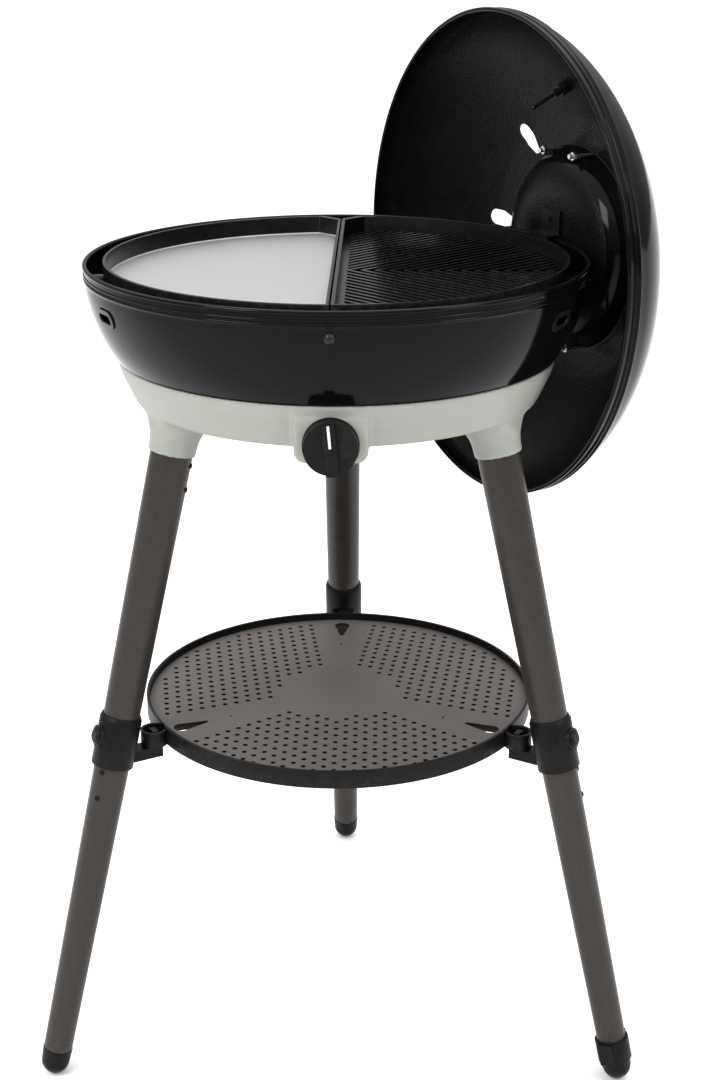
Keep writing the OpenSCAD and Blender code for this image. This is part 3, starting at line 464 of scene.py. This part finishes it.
# %% Punch the tray
HOLE_D = 6.0 * MM
COLUMN_PITCH = 10.3 * MM
HOLE_PITCH = 15.9 * MM
SLOT_MID = 174 * MM
SLOT_HALF_LEN = 14.2 * MM


def closed_loop(curve, points):
    spline = curve.splines.new("POLY")
    spline.points.add(len(points) - 1)
    for point, (x, y) in zip(spline.points, points):
        point.co = (x, y, 0, 1)
    spline.use_cyclic_u = True


def circle_points(x, y, radius, count):
    turns = [math.tau * i / count for i in range(count)]
    return [(x + radius * math.cos(a), y + radius * math.sin(a)) for a in turns]


def in_front_sector(x, y):
    """True where the front third of the sheet is punched. The solid spokes widen outwards."""
    r = math.hypot(x, y)
    off_axis = math.degrees(abs(math.atan2(x, -y)))
    spoke = r * math.sin(math.radians(60 - off_axis))
    return 64 * MM < r < 200 * MM and off_axis < 60 and spoke > 11 * MM + 0.13 * (r - 70 * MM)


sheet_curve = bpy.data.curves.new("tray_sheet", "CURVE")
sheet_curve.dimensions = "2D"
sheet_curve.fill_mode = "BOTH"
closed_loop(sheet_curve, circle_points(0, 0, TRAY_R - 3.3 * MM, 180))
holes = 0
for row in range(-14, 15):
    for column in range(-20, 21):
        x, y = column * COLUMN_PITCH, (row + 0.5 * (column % 2)) * HOLE_PITCH
        if not in_front_sector(x, y):
            continue
        for turn in (0, 120, 240):
            c, d = math.cos(math.radians(turn)), math.sin(math.radians(turn))
            closed_loop(sheet_curve, circle_points(x * c - y * d, x * d + y * c, HOLE_D / 2, 12))
            holes += 1
for azimuth in LEG_AZIMUTHS.values():
    a = math.radians(azimuth)
    along, across = Vector((math.cos(a), math.sin(a))), Vector((-math.sin(a), math.cos(a)))
    ends = []
    for side, start in ((1, -90), (-1, 90)):
        for i in range(13):
            turn = math.radians(start + 180 * i / 12)
            end_r = (9 if side > 0 else 2.5) * MM
            middle = along * (SLOT_MID + side * SLOT_HALF_LEN)
            p = middle + along * end_r * math.cos(turn) + across * end_r * math.sin(turn)
            ends.append((p.x, p.y))
    closed_loop(sheet_curve, ends)
    closed_loop(sheet_curve, circle_points(along.x * 131 * MM, along.y * 131 * MM, 1.7 * MM, 12))
SHEET_THICK = 8 * MM
sheet_curve.extrude = SHEET_THICK / 2 - 0.3 * MM
sheet_curve.bevel_depth = 0.3 * MM
sheet_curve.bevel_resolution = 1
tray_sheet = bpy.data.objects.new("tray_sheet", sheet_curve)
bpy.context.collection.objects.link(tray_sheet)
only(tray_sheet)
bpy.ops.object.convert(target="MESH")
tray_sheet = named("tray_sheet")
settle(tray_sheet, Matrix.Translation((0, 0, SHEET_TOP - SHEET_THICK / 2)))
smooth(tray_sheet, 40)
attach(tray_sheet, "tray")
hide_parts("tray_sheet_panel")
print("holes in the tray", holes, "faces", len(tray_sheet.data.polygons))

# %% [markdown]
# ## Finishes
# Every finish reads Object coordinates, so its pattern stays on the piece as the piece moves.
# Four effects are shared by most of them and are built once as node groups: a fine grain, the
# broad unevenness of a sprayed or moulded skin, wear on edges, and dust on what faces up.

# %% Helpers for node groups
def new_group(name, inputs, outputs):
    tree = bpy.data.node_groups.new(name, "ShaderNodeTree")
    for label, kind, default in inputs:
        socket = tree.interface.new_socket(name=label, in_out="INPUT", socket_type=kind)
        if default is not None:
            socket.default_value = default
    for label, kind in outputs:
        tree.interface.new_socket(name=label, in_out="OUTPUT", socket_type=kind)
    return tree, tree.nodes.new("NodeGroupInput").outputs, tree.nodes.new("NodeGroupOutput").inputs


def add_node(tree, kind, links=None, **values):
    """Adds a node. Links are given by input name or number, from another node's output."""
    node = tree.nodes.new(kind)
    for key, value in values.items():
        setattr(node, key, value)
    for key, value in (links or {}).items():
        if isinstance(value, bpy.types.NodeSocket):
            tree.links.new(value, node.inputs[key])
        else:
            node.inputs[key].default_value = value
    return node


def ramp(tree, value, low, high):
    node = add_node(tree, "ShaderNodeMapRange", {"Value": value, "From Min": low, "From Max": high})
    return node.outputs["Result"]


def times(tree, a, b):
    return add_node(tree, "ShaderNodeMath", {0: a, 1: b}, operation="MULTIPLY").outputs[0]


def plus(tree, a, b):
    return add_node(tree, "ShaderNodeMath", {0: a, 1: b}, operation="ADD").outputs[0]


def noise(tree, vector, scale, detail, roughness=0.5):
    links = {"Vector": vector, "Scale": scale, "Detail": detail, "Roughness": roughness}
    return add_node(tree, "ShaderNodeTexNoise", links).outputs["Fac"]


print("node helpers ready")

# %% [markdown]
# Grain is noise at two sizes, so that it doesn't look like one repeated texture. It gives a
# height for bump and a value for small changes of colour and roughness.

# %% Grain group
grain_group, given, result = new_group("fine_grain", [
    ("Vector", "NodeSocketVector", None), ("Scale", "NodeSocketFloat", 900.0),
    ("Stretch", "NodeSocketVector", (1, 1, 1))],
    [("Height", "NodeSocketFloat"), ("Variation", "NodeSocketFloat")])
stretched = add_node(grain_group, "ShaderNodeVectorMath", {0: given["Vector"], 1: given["Stretch"]},
                     operation="MULTIPLY").outputs[0]
fine = noise(grain_group, stretched, given["Scale"], 3.0, 0.6)
broad = noise(grain_group, stretched, times(grain_group, given["Scale"], 0.06), 4.0, 0.55)
grain_group.links.new(fine, result["Height"])
mixed = plus(grain_group, times(grain_group, fine, 0.4), times(grain_group, broad, 0.6))
grain_group.links.new(ramp(grain_group, mixed, 0.3, 0.7), result["Variation"])
print("group", grain_group.name)

# %% [markdown]
# Wear shows where the surface turns sharply, broken up by noise so that it isn't a drawn line.

# %% Edge wear group
wear_group, given, result = new_group("edge_wear", [
    ("Vector", "NodeSocketVector", None), ("Amount", "NodeSocketFloat", 0.5)],
    [("Mask", "NodeSocketFloat")])
shape_info = wear_group.nodes.new("ShaderNodeNewGeometry")
sharp = ramp(wear_group, shape_info.outputs["Pointiness"], 0.515, 0.60)
broken = ramp(wear_group, noise(wear_group, given["Vector"], 160.0, 5.0), 0.42, 0.62)
mask = times(wear_group, times(wear_group, sharp, broken), given["Amount"])
wear_group.links.new(mask, result["Mask"])
print("group", wear_group.name)

# %% [markdown]
# Dust settles on what faces up. The normal's height picks those places, and noise thins it.

# %% Dust group
dust_group, given, result = new_group("settled_dust", [
    ("Vector", "NodeSocketVector", None), ("Amount", "NodeSocketFloat", 0.1)],
    [("Mask", "NodeSocketFloat")])
normal = dust_group.nodes.new("ShaderNodeNewGeometry").outputs["Normal"]
upward = ramp(dust_group, add_node(dust_group, "ShaderNodeSeparateXYZ", {0: normal}).outputs["Z"], 0.2, 1.0)
patches = ramp(dust_group, noise(dust_group, given["Vector"], 14.0, 6.0, 0.65), 0.35, 0.75)
mask = times(dust_group, upward, patches)
dust_group.links.new(times(dust_group, mask, given["Amount"]), result["Mask"])
print("group", dust_group.name)

# %% [markdown]
# One recipe makes every finish: two close colours mixed by the grain, a roughness that wanders
# between two values, a bump from the grain, then wear and dust over the top. What differs is
# the numbers. A single number that holds all over is set on the shader's own socket.

# %% Recipe for a finish
def finish(name, colors, rough, grain=(900, 0.1, 0.15), metallic=0.0, coat=0.0, wear=(0.0, (0.3, 0.3, 0.3)),
           dust=0.02, stretch=(1, 1, 1), orange_peel=0.0, speck=0.0, mirror=0.5):
    material = bpy.data.materials.new(name)
    material.use_nodes = True
    tree = material.node_tree
    shader = tree.nodes["Principled BSDF"]
    place = tree.nodes.new("ShaderNodeTexCoord").outputs["Object"]
    skin = add_node(tree, "ShaderNodeGroup", node_tree=grain_group)
    tree.links.new(place, skin.inputs["Vector"])
    skin.inputs["Scale"].default_value = grain[0]
    skin.inputs["Stretch"].default_value = stretch
    worn = add_node(tree, "ShaderNodeGroup", node_tree=wear_group)
    tree.links.new(place, worn.inputs["Vector"])
    worn.inputs["Amount"].default_value = wear[0]
    dusty = add_node(tree, "ShaderNodeGroup", node_tree=dust_group)
    tree.links.new(place, dusty.inputs["Vector"])
    dusty.inputs["Amount"].default_value = dust

    def blend(fac, a, b):
        node = tree.nodes.new("ShaderNodeMix")
        node.data_type = "RGBA"
        for socket, value in ((node.inputs[0], fac), (node.inputs[6], a), (node.inputs[7], b)):
            if isinstance(value, bpy.types.NodeSocket):
                tree.links.new(value, socket)
            else:
                socket.default_value = (*value, 1) if isinstance(value, tuple) else value
        return node.outputs[2]

    color = blend(skin.outputs["Variation"], colors[0], colors[1])
    # Pale dots are mixed into the colour. Inside the lid they are painted highlights, for the small glints of
    # its rippled enamel.
    if speck:
        dots = add_node(tree, "ShaderNodeTexVoronoi", {"Vector": place, "Scale": 700.0})
        sparse = add_node(tree, "ShaderNodeSeparateColor", {0: dots.outputs["Color"]})
        color = blend(times(tree, ramp(tree, sparse.outputs[0], 0.8, 1.0), speck), color, (0.5, 0.5, 0.49))
    color = blend(worn.outputs["Mask"], color, wear[1])
    color = blend(dusty.outputs["Mask"], color, (0.42, 0.40, 0.37))
    tree.links.new(color, shader.inputs["Base Color"])
    uneven = add_node(tree, "ShaderNodeMapRange", {
        "Value": skin.outputs["Variation"], "To Min": rough[0], "To Max": rough[1]}).outputs[0]
    tree.links.new(plus(tree, uneven, times(tree, dusty.outputs["Mask"], 0.5)), shader.inputs["Roughness"])
    bump = add_node(tree, "ShaderNodeBump", {
        "Height": skin.outputs["Height"], "Strength": grain[1], "Distance": grain[2] * MM})
    if orange_peel:
        bump = add_node(tree, "ShaderNodeBump", {
            "Height": noise(tree, place, 330.0, 1.0), "Strength": orange_peel, "Distance": 0.5 * MM,
            "Normal": bump.outputs[0]})
    tree.links.new(bump.outputs[0], shader.inputs["Normal"])
    shader.inputs["Metallic"].default_value = metallic
    shader.inputs["Coat Weight"].default_value = coat
    shader.inputs["Coat Roughness"].default_value = 0.06
    shader.inputs["Specular IOR Level"].default_value = mirror
    return material


print("recipe ready")

# %% [markdown]
# Glass enamel is nearly mirror smooth, with the faint ripple of fired glass. The same enamel
# inside the lid has a stronger ripple. The plastics have a spark-eroded grain, and the plated and
# plain steels are brushed, so their grain is stretched.

# %% Make the finishes
FINISH = {
    "enamel": finish(
        "gloss_enamel", ((0.0018, 0.0017, 0.0017), (0.003, 0.0028, 0.0028)),
        (0.08, 0.13), (1400, 0.02, 0.04), orange_peel=0.03, dust=0.006, mirror=0.09),
    # Inside the lid, the pale specks are painted highlights.
    "enamel_inside": finish(
        "gloss_enamel_inside", ((0.0022, 0.0022, 0.0022), (0.0042, 0.0042, 0.0042)),
        (0.28, 0.36), (800, 0.08, 0.1), orange_peel=0.75, dust=0.006, speck=0.006, mirror=0.13),
    "base_plastic": finish(
        "moulded_grey_plastic", ((0.262, 0.272, 0.242), (0.292, 0.302, 0.272)),
        (0.42, 0.55), (1600, 0.14, 0.1), dust=0.03, wear=(0.15, (0.4, 0.4, 0.38)), mirror=0.4),
    "black_plastic": finish(
        "moulded_black_plastic", ((0.003, 0.003, 0.003), (0.0055, 0.0055, 0.0055)),
        (0.36, 0.5), (1500, 0.2, 0.1), dust=0.006, wear=(0.2, (0.03, 0.03, 0.03)), mirror=0.11),
    "leg_paint": finish(
        "satin_leg_paint", ((0.028, 0.0235, 0.021), (0.035, 0.03, 0.027)),
        (0.34, 0.44), (2200, 0.1, 0.05), metallic=0.3, speck=0.012, dust=0.006,
        wear=(0.15, (0.12, 0.12, 0.12)), mirror=0.25),
    "tray_paint": finish(
        "satin_tray_paint", ((0.072, 0.061, 0.057), (0.088, 0.076, 0.071)),
        (0.42, 0.56), (1500, 0.16, 0.08), dust=0.02, wear=(0.3, (0.16, 0.15, 0.14)), mirror=0.3),
    "zinc": finish(
        "zinc_plate", ((0.52, 0.52, 0.51), (0.68, 0.68, 0.67)),
        (0.2, 0.36), (700, 0.1, 0.05), metallic=1.0, stretch=(1, 1, 0.15)),
    "burner_steel": finish(
        "plain_steel", ((0.42, 0.41, 0.39), (0.52, 0.51, 0.49)),
        (0.28, 0.45), (700, 0.12, 0.05), metallic=1.0, stretch=(1, 0.12, 1), dust=0.08),
    "cast_iron": finish(
        "black_cast_iron", ((0.02, 0.019, 0.018), (0.036, 0.034, 0.032)),
        (0.6, 0.8), (500, 0.5, 0.4), metallic=0.3, dust=0.08),
    "ceramic": finish(
        "glazed_ceramic", ((0.72, 0.7, 0.65), (0.78, 0.76, 0.71)),
        (0.12, 0.2), (900, 0.05, 0.05), coat=0.5),
    "brass": finish(
        "turned_brass", ((0.6, 0.42, 0.18), (0.7, 0.5, 0.24)),
        (0.22, 0.38), (800, 0.1, 0.05), metallic=1.0, stretch=(1, 0.15, 1)),
    "white_mark": finish(
        "white_mark_paint", ((0.62, 0.62, 0.6), (0.7, 0.7, 0.68)),
        (0.3, 0.4), (1500, 0.1, 0.05)),
    "plate_coating": finish(
        "plate_coating", ((0.0035, 0.0033, 0.0032), (0.007, 0.0066, 0.0063)),
        (0.16, 0.26), (1500, 0.05, 0.03), dust=0.004, wear=(0.3, (0.1, 0.095, 0.09)), mirror=0.22),
    "dark_metal": finish(
        "blackened_metal", ((0.012, 0.0115, 0.011), (0.022, 0.021, 0.02)),
        (0.25, 0.4), (900, 0.1, 0.05), metallic=0.6, mirror=0.3),
}
print("finishes", len(FINISH))

# %% [markdown]
# The flat plate's floor gets a pale metallic copy of the black plate coating: a painted reflection
# of the pale surround, while its wall keeps the black coating. Height tells the two apart.

# %% Paint the reflection on the flat plate's floor
FLOOR_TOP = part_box("flat_plate")[1][2] - 19 * MM
painted_reflection_plate = FINISH["plate_coating"].copy()
painted_reflection_plate.name = "plate_floor_painted_reflection"
tree = painted_reflection_plate.node_tree
shader = tree.nodes["Principled BSDF"]
place = tree.nodes.new("ShaderNodeTexCoord").outputs["Object"]
height = add_node(tree, "ShaderNodeSeparateXYZ", {0: place}).outputs["Z"]
painted_reflection_mask = ramp(tree, height, FLOOR_TOP + 1.2 * MM, FLOOR_TOP + 0.2 * MM)
# Painted reflection: a pale metallic colour for the floor, in place of the black coating it shares with its
# wall and the ribbed plate.
for label, value in (("Base Color", (0.55, 0.54, 0.53, 1)), ("Metallic", 0.85), ("Roughness", 0.34)):
    blend = tree.nodes.new("ShaderNodeMix")
    is_color = label == "Base Color"
    blend.data_type = "RGBA" if is_color else "FLOAT"
    first, second = (6, 7) if is_color else (2, 3)
    tree.links.new(painted_reflection_mask, blend.inputs[0])
    if shader.inputs[label].is_linked:
        tree.links.new(shader.inputs[label].links[0].from_socket, blend.inputs[first])
    else:
        blend.inputs[first].default_value = 0.0
    blend.inputs[second].default_value = value
    tree.links.new(blend.outputs[2 if is_color else 0], shader.inputs[label])
FINISH["plate_floor_painted_reflection"] = painted_reflection_plate
DARK = ("slot_trim_left", "slot_trim_right", "plate_stud_front", "plate_stud_left", "plate_stud_right",
        "plate_stud_back", "lid_hanger", "thermometer_stem", "gas_valve")
OTHER_FINISH = {name: "dark_metal" for name in DARK}
# The flat plate gets the copy with the painted reflection of the surround on its floor.
OTHER_FINISH["flat_plate"] = "plate_floor_painted_reflection"
print("floor top", round(FLOOR_TOP, 4))

# %% [markdown]
# The CAD nodes that keep their shape get the finish that the record names for them, or the one given in
# OTHER_FINISH, and those in SOFT_EDGES also get a small bevel from a live modifier, so that their edges catch
# the light.

# %% Finish the pieces
slot_of = {row["node"]: row["material_slot"] for row in frame["record"]["subparts"]}
replaced = {"base_housing", "control_boss", "bowl", "lid_dome", "lid_rim_trim", "tray_sheet_panel"}
SOFT_EDGES = {"control_knob": 0.8, "levelling_foot": 1.5, "tray_rim": 0.8, "flat_plate": 1.0,
              "ribbed_plate": 0.7,
              "lid_handle": 1.2, "thermometer_dial": 0.8}
for leg in LEG_AZIMUTHS:
    SOFT_EDGES["collar_" + leg] = 1.0
    SOFT_EDGES["release_button_" + leg] = 0.6
for name, slot in slot_of.items():
    if name in replaced:
        continue
    node = bpy.data.objects[name]
    node.data.materials.clear()
    node.data.materials.append(FINISH[OTHER_FINISH.get(name, slot)])
    if name in SOFT_EDGES:
        weld = node.modifiers.new("Weld", "WELD")
        weld.merge_threshold = 0.01 * MM
        bevel = node.modifiers.new("Bevel", "BEVEL")
        bevel.width = SOFT_EDGES[name] * MM
        bevel.segments = 3
        bevel.limit_method = "ANGLE"
        bevel.angle_limit = math.radians(34)
        bevel.harden_normals = False
for piece, slot in ((bowl, "enamel"), (base, "base_plastic"), (tray_sheet, "tray_paint")):
    piece.data.materials.clear()
    piece.data.materials.append(FINISH[slot])
# The walls of the tray's holes and all below its face get the black plastic finish: painted shade, standing in
# for the shadow inside the deep holes.
tray_sheet.data.materials.append(FINISH["black_plastic"])
for face in tray_sheet.data.polygons:
    face.material_index = 0 if face.normal.z > 0.3 else 1
lid.data.materials.clear()
lid.data.materials.append(FINISH["enamel"])
lid.data.materials.append(FINISH["enamel_inside"])
lid_out = LID_MATRIX.to_3x3() @ Vector((0, 0, 1))
lid_middle = LID_MATRIX @ Vector((0, 0, 0))
for face in lid.data.polygons:
    # Inside faces look at a point well within the lid's hollow.
    hollow = lid_middle + lid_out * 20 * MM - face.center
    past_bead = (face.center - lid_middle).dot(lid_out) > 4 * MM
    face.material_index = 1 if past_bead and face.normal.dot(hollow) > 0 else 0
print("finished", len(slot_of) - len(replaced) + 4)

# %% [markdown]
# ## The studio
# A wide pale floor, a pale surround, and large soft lights. The two tall soft lights in front
# are what the black enamel mirrors as broad grey shapes.

# %% Floor and world
bpy.ops.mesh.primitive_plane_add(size=60, location=(0, 0, -0.5 * MM))
floor = named("studio_floor")
paper = bpy.data.materials.new("pale_floor")
paper.use_nodes = True
paper.node_tree.nodes["Principled BSDF"].inputs["Base Color"].default_value = (0.88, 0.88, 0.88, 1)
paper.node_tree.nodes["Principled BSDF"].inputs["Roughness"].default_value = 0.9
paper.node_tree.nodes["Principled BSDF"].inputs["Specular IOR Level"].default_value = 0.1
floor.data.materials.append(paper)
world = bpy.data.worlds.new("studio")
bpy.context.scene.world = world
world.use_nodes = True
# The surround is bright overhead and dim at eye level, so black enamel keeps its depth.
sky = world.node_tree
direction = sky.nodes.new("ShaderNodeTexCoord").outputs["Generated"]
upward = add_node(sky, "ShaderNodeSeparateXYZ", {0: direction}).outputs["Z"]
glow = add_node(sky, "ShaderNodeMapRange", {
    "Value": upward, "From Min": 0.05, "From Max": 0.75, "To Min": 0.28, "To Max": 1.15})
sky.links.new(glow.outputs["Result"], sky.nodes["Background"].inputs["Strength"])
sky.nodes["Background"].inputs["Color"].default_value = (1, 1, 1, 1)
bpy.context.scene.view_settings.view_transform = "Standard"
print("floor and world ready")

# %% Soft lights
def soft_light(name, place, aim, size, power):
    bpy.ops.object.light_add(type="AREA", location=place)
    lamp = bpy.context.object
    lamp.name = name
    lamp.data.shape = "RECTANGLE"
    lamp.data.size, lamp.data.size_y = size
    lamp.data.energy = power
    lamp.rotation_euler = (Vector(aim) - Vector(place)).to_track_quat("-Z", "Y").to_euler()
    return lamp


soft_light("key", (-1.6, -1.5, 2.1), (0, 0, 0.75), (0.9, 0.9), 34)
soft_light("fill", (1.9, -1.2, 1.9), (0, 0, 0.7), (0.7, 1.0), 18)
soft_light("top", (0, 0.6, 2.9), (0, 0, 0.6), (1.8, 1.2), 26)
# A very soft sun evens out the floor, out to its far edge.
bpy.ops.object.light_add(type="SUN", location=(0, 0, 4))
bpy.context.object.name = "even_sun"
bpy.context.object.data.energy = 2.0
bpy.context.object.data.angle = math.radians(120)
print("lights", 4)

# %% Camera
bpy.ops.object.camera_add(location=(0.04887, -1.8146, 1.20225), rotation=(math.pi / 2 - 0.345, 0, 0.015))
camera = bpy.context.object
camera.data.lens = 60.05
camera.data.sensor_width = 36
bpy.context.scene.camera = camera
print("camera ready")

# %% [markdown]


print("scene ready")
